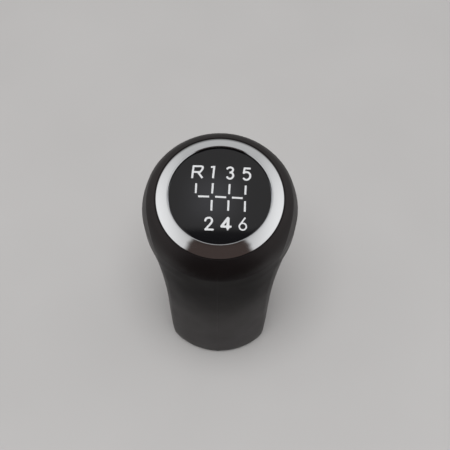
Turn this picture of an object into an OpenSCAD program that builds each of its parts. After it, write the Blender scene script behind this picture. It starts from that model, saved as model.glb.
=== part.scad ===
// Push-on gear shift knob with a tilted round head, a chromed bezel and a printed shift plate.
// Origin on the lever axis at the underside, +Z up, -Y towards the driver, millimetres.

/* [Grip shape] */
// Height of the bezel circle's centre above the underside
head_h = 78; // [74:0.5:86]
// Lean of the head towards the driver, in degrees
head_tilt = 14.4; // [10:0.2:18]
// Diameter of the head at its widest
head_d = 50.8; // [48:0.2:54]
// Radius that rolls the head's side over to the bezel
shoulder_r = 10.8; // [9.5:0.1:12]
// Width of the neck at the underside
neck_w = 34.2; // [33.4:0.2:38]
// Half width that the lower stretch of the side curve aims at
side_low = 19.6; // [18:0.1:20.5]
// Half width that the middle stretch of the side curve aims at
side_mid = 16.5; // [16:0.1:19]
// Half width that the upper stretch of the side curve aims at
side_high = 25.8; // [24.4:0.1:26.4]
// Depth of the neck in front of the lever axis at the underside
neck_front = 16.4; // [15:0.1:17.5]
// Depth that the lower stretch of the front curve aims at
front_low = 19.4; // [17:0.1:20.5]
// Depth that the upper stretch of the front curve aims at
front_high = 22.4; // [20:0.1:24]
// Depth of the neck behind the lever axis at the underside
neck_back = 15.8; // [15.2:0.1:17.5]
// Depth that the lower stretch of the back curve aims at
back_low = 16; // [15.5:0.1:18]
// Depth that the upper stretch of the back curve aims at
back_high = 16.6; // [16:0.1:19]
// Squareness of the neck's sides, 2 for an oval
neck_square = 3.7; // [2.6:0.1:4.4]
// Angle from the front to the ridge at the underside, in degrees
ridge_foot = 62.6; // [58:0.2:68]
// Angle that the ridge's middle stretch aims at, in degrees
ridge_mid = 44; // [40:0.5:56]
// Angle from the front to the ridge at the head's widest circle, in degrees
ridge_head = 50.6; // [46:0.2:56]
// Height that the ridge stands proud on the head
crest_h = 0.45; // [0.2:0.05:0.6]
// Width over which the ridge's flanks run out on the head
crest_reach = 4.5; // [3.5:0.1:4.5]
// Rise of the ridge from the widest circle up the shoulder
crest_rise = 5.95; // [5:0.05:6.5]
// How quickly the ridge levels out along the shoulder
crest_run = 3.9; // [3:0.1:5]
// Radius of the grip's lower edge
base_edge_r = 1; // [0.6:0.1:1.4]

/* [Bezel and shift plate] */
// Outer radius of the chromed bezel
bezel_r = 20.45; // [19.5:0.05:21]
// Width of the bezel's band, seen along the head's axis
band_w = 4.05; // [3.6:0.05:4.6]
// Height of the band's inner rim above its outer edge
band_rise = 2.7; // [2.2:0.1:3.2]
// Crown of the band over a straight cone
band_crown = 0.18; // [0.1:0.01:0.3]
// Chamfer of the band's inner rim
rim_flat = 0.25; // [0.15:0.05:0.4]
// Depth of the bezel's skirt below the band's outer edge
skirt_h = 3.6; // [3:0.1:4.2]
// Wall of the skirt
skirt_wall = 1.6; // [1.4:0.1:1.8]
// Thickness of the floor that carries the shift plate
floor_t = 1.5; // [1.2:0.1:1.8]
// Depth of the shift plate's edge below the bezel's rim
plate_sink = 0.9; // [0.7:0.05:1.1]
// Thickness of the shift plate at its edge
plate_t = 1.05; // [0.9:0.05:1.3]
// Rise of the shift plate's domed face at its middle
plate_crown = 0.5; // [0.3:0.05:0.6]
// Thickness of the adhesive pad
pad_t = 0.25; // [0.2:0.05:0.4]
// Width of the floor left bare round the adhesive pad
pad_margin = 0.8; // [0.5:0.1:1.5]

/* [Snap hooks] */
// Number of hooks under the bezel
hook_n = 3; // [3:1:4]
// Angle that each hook spans, in degrees
hook_span = 24; // [18:1:30]
// Thickness of a hook
hook_t = 1.2; // [1:0.1:1.4]
// Gap between the hooks and the skirt
hook_set = 0.65; // [0.5:0.05:0.8]
// Reach of the hook's barb
barb = 0.9; // [0.7:0.05:1.1]
// Height of the barb
barb_h = 1.8; // [1.5:0.1:2.2]
// Thickness of the ledge that the barbs grip
ledge_t = 2.2; // [1.9:0.1:2.5]

/* [Core] */
// Thickness of the moulded grip over the core's foot and fins
skin = 2.6; // [2.2:0.1:3]
// Wall of the core's column
column_wall = 2; // [1.8:0.1:2.3]
// Thickness of the core's fins
fin_t = 2; // [1.6:0.1:2.6]
// Height of the core's foot block above the base cap
foot_h = 9; // [8:0.5:11]
// Number of locking rings round the column
lock_n = 3; // [2:1:4]
// Height of one locking ring
lock_h = 2; // [1.5:0.1:2.6]
// Reach of the locking rings from the column
lock_out = 1.6; // [1.2:0.1:2]
// Depth of the well for the weight below the bezel's outer edge
well_depth = 10.2; // [9.6:0.1:10.6]
// Height of the cone below the well
cone_h = 9; // [8:0.5:10]
// How far the ledge runs out under the grip's lip
ledge_lap = 0.4; // [0.3:0.1:0.8]

/* [Balance weight] */
// Wall between the weight's well and the hook pockets
well_wall = 1.2; // [1:0.1:1.6]
// Radius of the spigot that centres the weight
spigot_r = 3; // [2.5:0.1:3.5]
// Height of the spigot
spigot_h = 5; // [4:0.5:6]
// Chamfer of the weight's edges
weight_chamfer = 0.8; // [0.5:0.1:1.2]
// Thickness of the damping washer on the weight
washer_t = 1.2; // [0.8:0.1:1.6]
// Width of the damping washer's ring
washer_w = 5.5; // [4:0.5:7]
// Edge of the weight left bare round the damping washer
washer_edge = 2.4; // [1.6:0.1:3]

/* [Lever sleeve] */
// Radius of the bore for the lever
bore_r = 6.1; // [5.9:0.05:6.3]
// Wall of the sleeve round the bore
sleeve_wall = 2.7; // [2.5:0.05:2.9]
// Distance of the sleeve's end below the bezel circle's centre
sleeve_drop = 22; // [21:0.25:23]
// Length of the springy stretch above the plain bore
finger_len = 16; // [15:0.5:17]
// Reach of the collar from the sleeve
collar_out = 1.8; // [1.6:0.1:2]
// Thickness of the collar
collar_t = 2; // [1.6:0.1:2.4]
// Relief of the bore between the fingers
finger_relief = 0.25; // [0.2:0.05:0.35]
// Number of slots that split the sleeve into fingers
slot_n = 4; // [3:1:6]
// Width of a slot
slot_w = 1.6; // [1.2:0.1:2]
// Distance of the detent below the sleeve's end
detent_drop = 7; // [6:0.25:8]
// Inward reach of the detent
detent_in = 0.6; // [0.4:0.05:0.8]
// Half height of the detent
detent_half = 1.2; // [0.8:0.1:1.4]
// Width of the index groove along the bore
index_w = 2; // [1.6:0.1:2.4]
// Depth of the index groove
index_d = 0.8; // [0.6:0.1:1]
// Width of the key that stops the sleeve turning
key_w = 2.4; // [2:0.1:3]
// Height of the key over the sleeve
key_h = 1; // [0.8:0.1:1.2]
// Wire radius of the spring ring
wire_r = 0.6; // [0.5:0.05:0.7]
// Distance of the spring ring below the sleeve's end
ring_drop = 3.5; // [3:0.25:4]
// Opening of the spring ring, in degrees
ring_gap = 34; // [20:1:50]
// Radius of the rubber stop
stop_r = 7; // [6.5:0.1:7.5]
// Thickness of the rubber stop
stop_t = 2.5; // [2:0.1:2.8]
// Gap between the sleeve's end and the stop
stop_gap = 0.5; // [0.3:0.1:0.8]

/* [Base cap] */
// Thickness of the base cap
cap_t = 1.8; // [1.6:0.1:2.2]
// Land of the grip left round the base cap
cap_margin = 2.2; // [2:0.1:2.6]
// Thickness of the cap's snap tabs
tab_t = 1.1; // [1:0.05:1.2]
// Width of a snap tab
tab_w = 5; // [4:0.5:6]
// Height of a snap tab
tab_h = 6.6; // [6:0.1:7]
// Wall of the core between the collar and a tab
tab_wall = 0.85; // [0.75:0.05:0.95]
// Reach of a tab's barb
tab_barb = 0.5; // [0.4:0.05:0.6]
// Height of a tab's barb
tab_barb_h = 1.8; // [1.5:0.1:2.2]

/* [Clearances] */
// Gap between the bezel and the grip's lip
bezel_gap = 0.1; // [0.05:0.05:0.2]
// Width of the grip's lip round the bezel
lip_w = 0.3; // [0.2:0.05:0.5]
// Gap round parts that drop or push into a seat
seat_gap = 0.15; // [0.1:0.05:0.2]
// Play round the hooks and tabs in their slots
hook_gap = 0.3; // [0.2:0.05:0.35]
// Room for the sleeve's fingers to spring outwards
finger_room = 1.3; // [1:0.1:1.5]

/* [Hidden] */

$fn = 96;
eps = 0.01;
head_r = head_d / 2;

// Facets of the grip's skin
FRONT_STEPS = 12;
SIDE_STEPS = 20;
NECK_RINGS = 26;
CREST_RINGS = 6;
SHOULDER_RINGS = 4;
EDGE_RINGS = 3;
FIN_POINTS = 8;
ARC_POINTS = 10;

// Stretch of the spine over which the ridge comes to its height, and angles over which it dies away
CREST_GROW = [0.05, 0.45];
CREST_FADE = [125, 90];

// Stretch of the spine that the core's fins run along
FIN_FROM = 0.1;
FIN_TO = 0.72;

// Shoulder and spine, which rises upright and arrives square to the tilted bezel
lip_r = bezel_r + bezel_gap + lip_w;
roll_end = acos(1 - (head_r - lip_r) / shoulder_r);
head_up = [0, -sin(head_tilt), cos(head_tilt)];
bezel_c = [0, 0, head_h];
wide_c = bezel_c - head_up * shoulder_r * sin(roll_end);
spine_len = norm(wide_c);
upright = [0, 0, spine_len];
arriving = head_up * spine_len;
crest_slope = crest_rise / crest_run;
crest_a = crest_rise / shoulder_r * 180 / PI;

// Bezel stack, measured along the head's axis from the bezel's outer edge
plate_edge_h = band_rise - plate_sink;
pad_h = plate_edge_h - plate_t - pad_t;
floor_under = pad_h - floor_t;
pocket_r = bezel_r + bezel_gap;
ledge_r = pocket_r + ledge_lap;
skirt_in = bezel_r - skirt_wall;
window_r = bezel_r - band_w;
hook_r = skirt_in - hook_set - hook_t;
barb_top = -skirt_h - ledge_t - hook_gap / 2;
barb_low = barb_top - barb_h;
slot_in = hook_r - barb + hook_gap;
slot_out = hook_r + hook_t + hook_gap;
hook_room = barb_low - hook_gap;
weight_r = slot_in - well_wall - 2 * seat_gap;
weight_top = floor_under - washer_t;
washer_out = weight_r - washer_edge;
washer_in = washer_out - washer_w;

// Seats along the lever axis
sleeve_r = bore_r + sleeve_wall;
sleeve_len = head_h - sleeve_drop;
bore_len = sleeve_len - finger_len;
detent_z = sleeve_len - detent_drop;
ring_z = sleeve_len - ring_drop;
collar_r = sleeve_r + collar_out;
tab_x = collar_r + seat_gap + tab_wall + hook_gap;
socket_r = sleeve_r + seat_gap;
room_r = sleeve_r + finger_room;
column_r = socket_r + column_wall;
upper_r = room_r + column_wall;
collar_top = cap_t + collar_t;
room_z = bore_len;
flare_z = room_z - 2 * finger_room;
finger_z = bore_len + collar_t;
key_top = flare_z;
stop_z = sleeve_len + stop_gap;
stop_top = stop_z + stop_t;
foot_top = cap_t + foot_h;

function quartic(c, t) = let (u = 1 - t)
    c[0] * u^4 + 4 * c[1] * u^3 * t + 6 * c[2] * u^2 * t^2 + 4 * c[3] * u * t^3 + c[4] * t^4;

function spine(t) =
    upright * (t^3 - 2 * t^2 + t) + wide_c * (3 * t^2 - 2 * t^3) + arriving * (t^3 - t^2);

function spine_dir(t) =
    let (d = upright * (3 * t^2 - 4 * t + 1) + wide_c * (6 * t - 6 * t^2) + arriving * (3 * t^2 - 2 * t))
    d / norm(d);

function half_width(t) = quartic([neck_w / 2, side_low, side_mid, side_high, head_r], t);
function front_depth(t) = quartic([neck_front, front_low, front_high, head_r, head_r], t);
function back_depth(t) = quartic([neck_back, back_low, back_high, head_r, head_r], t);
function squareness(t) = 2 + (neck_square - 2) * (1 + cos(180 * t)) / 2;
function ridge_angle(t) = ridge_foot * (1 - t)^2 + 2 * ridge_mid * t * (1 - t) + ridge_head * t^2;

// Radius of a squared oval at an angle from the front
function oval(a, w, d, n) = (abs(sin(a) / w)^n + abs(cos(a) / d)^n)^(-1 / n);

// Radius, at an angle from the front, of a circle of radius r that passes through the front point
function front_arc(a, f, r) = let (b = cos(a) * (f - r)) b + sqrt(b^2 - (f - r)^2 + r^2);

// Height of the ridge's flank at a distance from its crest
function flank(d) = crest_h * max(0, 1 - abs(d) / crest_reach)^2;

// Eased share of the way that x has gone through a span
function eased(x, span) = let (s = max(0, min(1, (x - span[0]) / (span[1] - span[0])))) s^2 * (3 - 2 * s);

// How far the skin of the neck stands proud at an angle and a radius
function neck_crest(a, r, t) =
    flank((a - ridge_angle(t)) * PI / 180 * r / sqrt(1 + 1 / crest_slope^2)) * eased(t, CREST_GROW);

// The same on the shoulder, at a height v along its roll above the widest circle
function shoulder_crest(a, r, v) =
    let (u = (a - ridge_head) * PI / 180 * r,
         fall = u < 0 ? 1 : exp(-u / crest_run),
         line = u < 0 ? crest_slope * u : crest_rise * (1 - fall))
    flank((v - line) / sqrt(1 + (crest_slope * fall)^2)) * eased(a, CREST_FADE);

// Where the crest crosses a ring of the shoulder, held short of the level stretch
function crest_angle(v) = ridge_head - crest_run / head_r * 180 / PI * ln(1 - min(0.93, v / crest_rise));

// Half of a section, front to back: one wide arc up to the ridge, then a squared oval
function half_section(w, f, d, n, ridge) =
    let (rr = oval(ridge, w, d, n),
         rise = f - rr * cos(ridge),
         arc_r = ((rr * sin(ridge))^2 + rise^2) / (2 * rise))
    [for (i = [0 : FRONT_STEPS]) let (a = ridge * i / FRONT_STEPS)
         front_arc(a, f, arc_r) * [sin(a), -cos(a)],
     for (i = [1 : SIDE_STEPS]) let (a = ridge + (180 - ridge) * i / SIDE_STEPS)
         oval(a, w, d, n) * [sin(a), -cos(a)]];

// Whole closed section, mirrored from its half
function section(half) = let (last = len(half) - 1)
    concat(half, [for (i = [last - 1 : -1 : 1]) [-half[i][0], half[i][1]]]);

function neck_section(t, inset = 0) =
    section([for (p = half_section(half_width(t) - inset, front_depth(t) - inset, back_depth(t) - inset,
                                   squareness(t), ridge_angle(t)))
        p * (1 + neck_crest(atan2(p[0], -p[1]), norm(p), t) / norm(p))]);

function shoulder_section(a) =
    let (r = head_r - shoulder_r * (1 - cos(a)), v = shoulder_r * a * PI / 180)
    section([for (p = half_section(r, r, r, 2, crest_angle(v)))
        p * (1 + shoulder_crest(atan2(p[0], -p[1]), r, v) / r)]);

function foot_ring(a) =
    placed(neck_section(0, base_edge_r * (1 - sin(a))), [0, 0, base_edge_r * (1 - cos(a))], [0, 0, 1]);

function neck_ring(s) = let (t0 = base_edge_r / spine_len, t = t0 + (1 - t0) * s)
    placed(neck_section(t), spine(t), spine_dir(t));

function shoulder_ring(a) = placed(shoulder_section(a), wide_c + head_up * shoulder_r * sin(a), head_up);

// A flat section set square to a direction at a centre
function placed(flat, centre, dir) =
    [for (p = flat) centre + [p[0], p[1] * dir[2], -p[1] * dir[1]]];

function grip_rings() = concat(
    [for (i = [0 : EDGE_RINGS - 1]) foot_ring(90 * i / EDGE_RINGS)],
    [for (i = [0 : NECK_RINGS]) neck_ring(i / NECK_RINGS)],
    [for (i = [1 : CREST_RINGS]) shoulder_ring(crest_a * i / CREST_RINGS)],
    [for (i = [1 : SHOULDER_RINGS]) shoulder_ring(crest_a + (roll_end - crest_a) * i / SHOULDER_RINGS)]);

// Closed solid through a stack of rings with equal numbers of points
module loft(rings) {
    n = len(rings[0]);
    m = len(rings);
    sides = [for (j = [0 : m - 2], i = [0 : n - 1])
        let (a = j * n + i, b = j * n + (i + 1) % n)
            each [[a, a + n, b + n], [a, b + n, b]]];
    bottom = [for (i = [0 : n - 1]) i];
    top = [for (i = [n - 1 : -1 : 0]) (m - 1) * n + i];
    polyhedron(points = [for (r = rings) each r], faces = concat([bottom], sides, [top]));
}

// Children drawn about the head's tilted axis
module on_head() {
    translate(bezel_c) rotate([head_tilt, 0, 0]) children();
}

// Points of a shallow arc from a to b that stands out by sag at its middle
function bowed(a, b, sag) = let (d = b - a, side = [d[1], -d[0]] / norm(d))
    [for (i = [0 : ARC_POINTS]) let (s = i / ARC_POINTS) a + d * s + side * sag * 4 * s * (1 - s)];

// A point in the spine's own plane, at a signed distance behind the spine
function beside_spine(t, off) = let (c = spine(t), d = spine_dir(t))
    [c[1] + off * d[2], c[2] - off * d[1]];

// Two crossed plates whose edges run parallel to the grip's surface
module core_fins() {
    steps = [for (i = [0 : FIN_POINTS]) FIN_FROM + (FIN_TO - FIN_FROM) * i / FIN_POINTS];
    back_steps = [for (i = [FIN_POINTS : -1 : 0]) steps[i]];
    rotate([90, 0, 90])
        linear_extrude(fin_t, center = true)
            polygon(concat([for (t = steps) beside_spine(t, skin - front_depth(t))],
                           [for (t = back_steps) beside_spine(t, back_depth(t) - skin)]));
    rotate([90, 0, 0])
        linear_extrude(fin_t, center = true)
            polygon(concat([for (t = steps) [half_width(t) - skin, spine(t)[2]]],
                           [for (t = back_steps) [skin - half_width(t), spine(t)[2]]]));
}

module core_column() {
    difference() {
        rotate_extrude()
            polygon([[0, cap_t], [column_r, cap_t], [column_r, flare_z], [upper_r, room_z],
                     [upper_r, stop_top + column_wall], [0, stop_top + column_wall]]);
        on_head() translate([0, 0, -well_depth + eps]) cylinder(r = head_r, h = head_r);
    }
    for (i = [1 : lock_n])
        translate([0, 0, foot_top + (flare_z - foot_top) * i / (lock_n + 1) - lock_h / 2])
            cylinder(r = column_r + lock_out, h = lock_h);
}

module core_bowl() {
    on_head()
        rotate_extrude()
            polygon([[0, -well_depth - cone_h], [upper_r, -well_depth - cone_h], [ledge_r, hook_room],
                     [ledge_r, -skirt_h], [0, -skirt_h]]);
}

module core_foot() {
    translate([0, 0, cap_t])
        linear_extrude(foot_h)
            polygon(neck_section(0, skin));
}

// The core's outer form, which the grip is moulded round
module core_form() {
    core_foot();
    core_column();
    core_fins();
    core_bowl();
}

// Pocket for one bezel hook, with the undercut below the ledge
module hook_pocket() {
    side = asin(hook_gap / hook_r) + hook_span / 2;
    rotate([0, 0, -side])
        rotate_extrude(angle = 2 * side)
            polygon([[slot_in, 0], [slot_out, 0], [slot_out, -skirt_h - ledge_t],
                     [slot_out + barb, -skirt_h - ledge_t], [slot_out + barb, hook_room],
                     [slot_in, hook_room]]);
}

// Pocket for one tab of the base cap, with its catch
module tab_pocket() {
    translate([tab_x - hook_gap, -tab_w / 2 - hook_gap, cap_t - eps])
        cube([tab_t + 2 * hook_gap, tab_w + 2 * hook_gap, tab_h + hook_gap + eps]);
    translate([tab_x, -tab_w / 2 - hook_gap, cap_t + tab_h - tab_barb_h - seat_gap])
        cube([tab_t + tab_barb + hook_gap, tab_w + 2 * hook_gap, tab_barb_h + seat_gap + hook_gap]);
}

module grip_cover() {
    color([0.13, 0.12, 0.12])
        difference() {
            loft(grip_rings());
            core_form();
            on_head() translate([0, 0, -skirt_h]) cylinder(r = pocket_r, h = skirt_h + 1);
            translate([0, 0, -1]) linear_extrude(cap_t + 1) polygon(neck_section(0, cap_margin - seat_gap));
        }
}

module core_frame() {
    color([0.32, 0.33, 0.34])
        difference() {
            core_form();
            cylinder(r = socket_r, h = room_z + 1);
            cylinder(r = collar_r + seat_gap, h = collar_top);
            translate([0, 0, room_z]) cylinder(r = room_r, h = stop_z - room_z);
            translate([0, 0, stop_z - 1]) cylinder(r = stop_r + seat_gap, h = stop_t + 1);
            translate([-key_w / 2 - seat_gap, 0, 0])
                cube([key_w + 2 * seat_gap, sleeve_r + key_h + seat_gap, key_top + seat_gap]);
            on_head() {
                difference() {
                    translate([0, 0, -well_depth]) cylinder(r = weight_r + 2 * seat_gap, h = head_r);
                    translate([0, 0, -well_depth - 1]) cylinder(r = spigot_r, h = spigot_h + 1);
                }
                for (i = [0 : hook_n - 1])
                    rotate([0, 0, 90 + 360 * i / hook_n]) hook_pocket();
            }
            for (a = [0, 180])
                rotate([0, 0, a]) tab_pocket();
        }
}

module base_cap() {
    color([0.12, 0.12, 0.13]) {
        difference() {
            linear_extrude(cap_t) polygon(neck_section(0, cap_margin));
            translate([0, 0, -1]) cylinder(r = socket_r, h = cap_t + 2);
        }
        for (a = [0, 180])
            rotate([0, 0, a])
                translate([tab_x, tab_w / 2, cap_t - eps])
                    rotate([90, 0, 0])
                        linear_extrude(tab_w)
                            polygon([[0, 0], [tab_t, 0], [tab_t, tab_h - tab_barb_h],
                                     [tab_t + tab_barb, tab_h - tab_barb_h], [tab_t - tab_barb, tab_h],
                                     [0, tab_h]]);
    }
}

module lever_sleeve() {
    groove_r = sleeve_r - 2 * wire_r;
    fork_r = bore_r + finger_relief;
    color([0.78, 0.77, 0.72])
        difference() {
            union() {
                cylinder(r = sleeve_r, h = sleeve_len);
                translate([0, 0, cap_t]) cylinder(r = collar_r, h = collar_t);
                translate([-key_w / 2, 0, cap_t]) cube([key_w, sleeve_r + key_h, key_top - cap_t]);
            }
            translate([0, 0, -1]) cylinder(r = bore_r, h = bore_len + 2);
            translate([0, 0, bore_len])
                rotate_extrude()
                    polygon([[0, 0], [fork_r, 0], [fork_r, detent_z - detent_half - bore_len],
                             [bore_r - detent_in, detent_z - bore_len],
                             [fork_r, detent_z + detent_half - bore_len],
                             [fork_r, sleeve_len - bore_len + 1], [0, sleeve_len - bore_len + 1]]);
            translate([-index_w / 2, -bore_r - index_d, -1]) cube([index_w, bore_r + index_d, bore_len + 1]);
            for (i = [0 : slot_n - 1])
                rotate([0, 0, 45 + 360 * i / slot_n])
                    translate([0, -slot_w / 2, finger_z]) cube([sleeve_r + 1, slot_w, sleeve_len]);
            translate([0, 0, ring_z - wire_r - seat_gap])
                difference() {
                    cylinder(r = sleeve_r + 1, h = 2 * (wire_r + seat_gap));
                    translate([0, 0, -1]) cylinder(r = groove_r, h = 2 * (wire_r + seat_gap) + 2);
                }
        }
}

module spring_ring() {
    color([0.62, 0.63, 0.65])
        translate([0, 0, ring_z])
            rotate([0, 0, ring_gap / 2])
                rotate_extrude(angle = 360 - ring_gap)
                    translate([sleeve_r - wire_r + eps, 0]) circle(r = wire_r, $fn = 24);
}

module end_stop() {
    color([0.08, 0.08, 0.08])
        translate([0, 0, stop_z]) cylinder(r = stop_r, h = stop_t);
}

module balance_weight() {
    r = weight_r;
    c = weight_chamfer;
    h = weight_top + well_depth;
    hole = spigot_r + seat_gap;
    color([0.50, 0.51, 0.53])
        on_head() translate([0, 0, -well_depth])
            rotate_extrude()
                polygon([[hole, 0], [r - c, 0], [r, c], [r, h - c], [r - c, h],
                         [hole + c, h], [hole, h - c]]);
}

module damping_washer() {
    color([0.18, 0.18, 0.18])
        on_head() translate([0, 0, weight_top])
            difference() {
                cylinder(r = washer_out, h = washer_t);
                translate([0, 0, -1]) cylinder(r = washer_in, h = washer_t + 2);
            }
}

// One hook of the bezel, a springy wall with a barb at its end
module bezel_hook() {
    out = hook_r + hook_t;
    rotate([0, 0, -hook_span / 2])
        rotate_extrude(angle = hook_span)
            polygon([[hook_r, floor_under + eps], [out, floor_under + eps], [out, barb_top],
                     [out + barb, barb_top], [out - hook_t / 3, barb_low], [hook_r, barb_low]]);
}

module bezel() {
    band = bowed([bezel_r, 0], [window_r + rim_flat, band_rise], band_crown);
    color([0.80, 0.82, 0.83])
        on_head() {
            rotate_extrude()
                polygon(concat([[0, pad_h], [0, floor_under], [skirt_in, floor_under],
                                [skirt_in, -skirt_h], [bezel_r, -skirt_h]],
                               band,
                               [[window_r, band_rise - rim_flat], [window_r, pad_h]]));
            for (i = [0 : hook_n - 1])
                rotate([0, 0, 90 + 360 * i / hook_n]) bezel_hook();
        }
}

module adhesive_pad() {
    color([0.86, 0.85, 0.78])
        on_head() translate([0, 0, pad_h]) cylinder(r = window_r - pad_margin, h = pad_t);
}

module shift_plate() {
    r = window_r - seat_gap;
    dome = [for (i = [0 : ARC_POINTS]) let (x = 1 - i / ARC_POINTS)
                [r * x, plate_edge_h + plate_crown * (1 - x^2)]];
    color([0.03, 0.03, 0.035])
        on_head()
            rotate_extrude()
                polygon(concat([[0, pad_h + pad_t], [r, pad_h + pad_t]], dome));
}

grip_cover();
core_frame();
base_cap();
lever_sleeve();
spring_ring();
end_stop();
balance_weight();
damping_washer();
bezel();
adhesive_pad();
shift_plate();
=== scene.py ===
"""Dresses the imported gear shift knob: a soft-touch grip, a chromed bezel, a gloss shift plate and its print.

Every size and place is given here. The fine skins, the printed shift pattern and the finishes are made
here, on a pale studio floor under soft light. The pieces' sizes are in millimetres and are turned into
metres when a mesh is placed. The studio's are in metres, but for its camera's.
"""
import logging
import math
from collections.abc import Callable, Iterator, Sequence
from dataclasses import dataclass, field
from enum import Enum
from functools import cached_property, partial

import bmesh
import bpy
from mathutils import Matrix, Vector


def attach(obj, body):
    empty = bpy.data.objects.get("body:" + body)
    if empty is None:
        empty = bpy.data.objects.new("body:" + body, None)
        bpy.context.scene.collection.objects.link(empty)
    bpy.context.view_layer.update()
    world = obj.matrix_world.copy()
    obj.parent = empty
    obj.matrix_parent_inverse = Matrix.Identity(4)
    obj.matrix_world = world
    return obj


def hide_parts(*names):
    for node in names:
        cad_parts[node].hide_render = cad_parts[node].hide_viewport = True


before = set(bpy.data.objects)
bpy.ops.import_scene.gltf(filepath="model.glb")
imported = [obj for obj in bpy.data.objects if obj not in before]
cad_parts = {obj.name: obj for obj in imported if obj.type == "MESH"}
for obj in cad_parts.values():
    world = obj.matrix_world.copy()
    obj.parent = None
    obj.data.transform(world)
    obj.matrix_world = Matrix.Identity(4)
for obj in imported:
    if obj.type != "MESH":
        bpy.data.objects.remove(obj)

LOG = logging.getLogger("shift_knob")

MM = 0.001
BODY = "root"
PHOTO_SIDE = 450

# Points nearer than MERGE become one, and ends nearer than TOUCH meet. Both are in millimetres.
MERGE = 1e-4
TOUCH = 1e-6

Flat = tuple[float, float]
Colour = tuple[float, float, float]
Stretch = tuple[float, float, float]

MIDDLE: Flat = (0.3, 0.7)


def lerp(a: float, b: float, s: float) -> float:
    """Returns the value a share s of the way from a to b."""
    return a + (b - a) * s


def eased(x: float, start: float, stop: float) -> float:
    """Returns the share of the way that x has gone from start to stop, eased at both ends."""
    share = min(1.0, max(0.0, (x - start) / (stop - start)))
    return share ** 2 * (3 - 2 * share)


@dataclass(frozen=True)
class HeadPlace:
    """Where the tilted head sits: the centre of the bezel's outer edge and the lean of the head's axis."""

    height: float = 78.0
    tilt: float = 14.4

    @property
    def up(self) -> Vector:
        """The head's axis, a unit vector."""
        lean = math.radians(self.tilt)
        return Vector((0, -math.sin(lean), math.cos(lean)))

    @property
    def centre(self) -> Vector:
        """The centre of the bezel's outer edge, in millimetres."""
        return Vector((0, 0, self.height))

    @property
    def matrix(self) -> Matrix:
        """Takes millimetres about the head's axis to metres in the knob's frame."""
        turn = Matrix.Rotation(math.radians(self.tilt), 4, "X")
        return Matrix.Scale(MM, 4) @ Matrix.Translation(self.centre) @ turn


HEAD = HeadPlace()


class MeshWork:
    """Shared steps for building a piece with mesh operators."""

    @staticmethod
    def wire(bm: bmesh.types.BMesh, points: Sequence[Flat], closed: bool = False) -> list[bmesh.types.BMVert]:
        """Draws a profile in the upright plane through the axis.

        Args:
            bm: The mesh to draw in.
            points: Radius and height of each corner.
            closed: Whether the last corner joins the first.

        Returns:
            The profile's vertices, in order.
        """
        verts = [bm.verts.new((r, 0, h)) for r, h in points]
        pairs = list(zip(verts, verts[1:]))
        if closed:
            pairs.append((verts[-1], verts[0]))
        for a, b in pairs:
            bm.edges.new((a, b))
        return verts

    @staticmethod
    def round_corner(bm: bmesh.types.BMesh, vert: bmesh.types.BMVert, radius: float,
                     segments: int = 4) -> None:
        """Rounds one corner of a wire profile."""
        bmesh.ops.bevel(bm, geom=[vert], offset=radius, offset_type="OFFSET", segments=segments, profile=0.5,
                        affect="VERTICES", material=-1)

    @staticmethod
    def turn(bm: bmesh.types.BMesh, steps: int) -> None:
        """Spins everything in the mesh once round the axis and closes seams and poles."""
        bmesh.ops.spin(bm, geom=bm.verts[:] + bm.edges[:], cent=(0, 0, 0), axis=(0, 0, 1), angle=math.tau,
                       steps=steps, use_merge=True)
        bmesh.ops.remove_doubles(bm, verts=bm.verts[:], dist=MERGE)

    @staticmethod
    def next_ring(bm: bmesh.types.BMesh, ring: list[bmesh.types.BMVert]) -> list[bmesh.types.BMVert]:
        """Extrudes a closed ring of vertices.

        Args:
            bm: The mesh.
            ring: The ring's vertices, in order.

        Returns:
            The new ring, in the same order and still in the old one's place.
        """
        edges = [bm.edges.get((a, b)) for a, b in zip(ring, ring[1:] + ring[:1])]
        made = bmesh.ops.extrude_edge_only(bm, edges=edges)["geom"]
        fresh = {v for v in made if isinstance(v, bmesh.types.BMVert)}
        return [next(e.other_vert(v) for e in v.link_edges if e.other_vert(v) in fresh) for v in ring]

    @staticmethod
    def piece(bm: bmesh.types.BMesh, name: str, matrix: Matrix, crease: float = 40.0) -> bpy.types.Object:
        """Turns a mesh's faces outwards, places it and makes the object.

        Args:
            bm: The mesh, in millimetres. It is freed.
            name: The piece's name.
            matrix: Takes the mesh to its place in metres.
            crease: Edges sharper than this many degrees stay crisp.

        Returns:
            The finished object, at the origin, with its place in its mesh.
        """
        bmesh.ops.recalc_face_normals(bm, faces=bm.faces[:])
        bm.transform(matrix)
        mesh = bpy.data.meshes.new(name)
        bm.to_mesh(mesh)
        bm.free()
        mesh.shade_smooth()
        mesh.set_sharp_from_angle(angle=math.radians(crease))
        obj = bpy.data.objects.new(name, mesh)
        bpy.context.scene.collection.objects.link(obj)
        return obj


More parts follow.
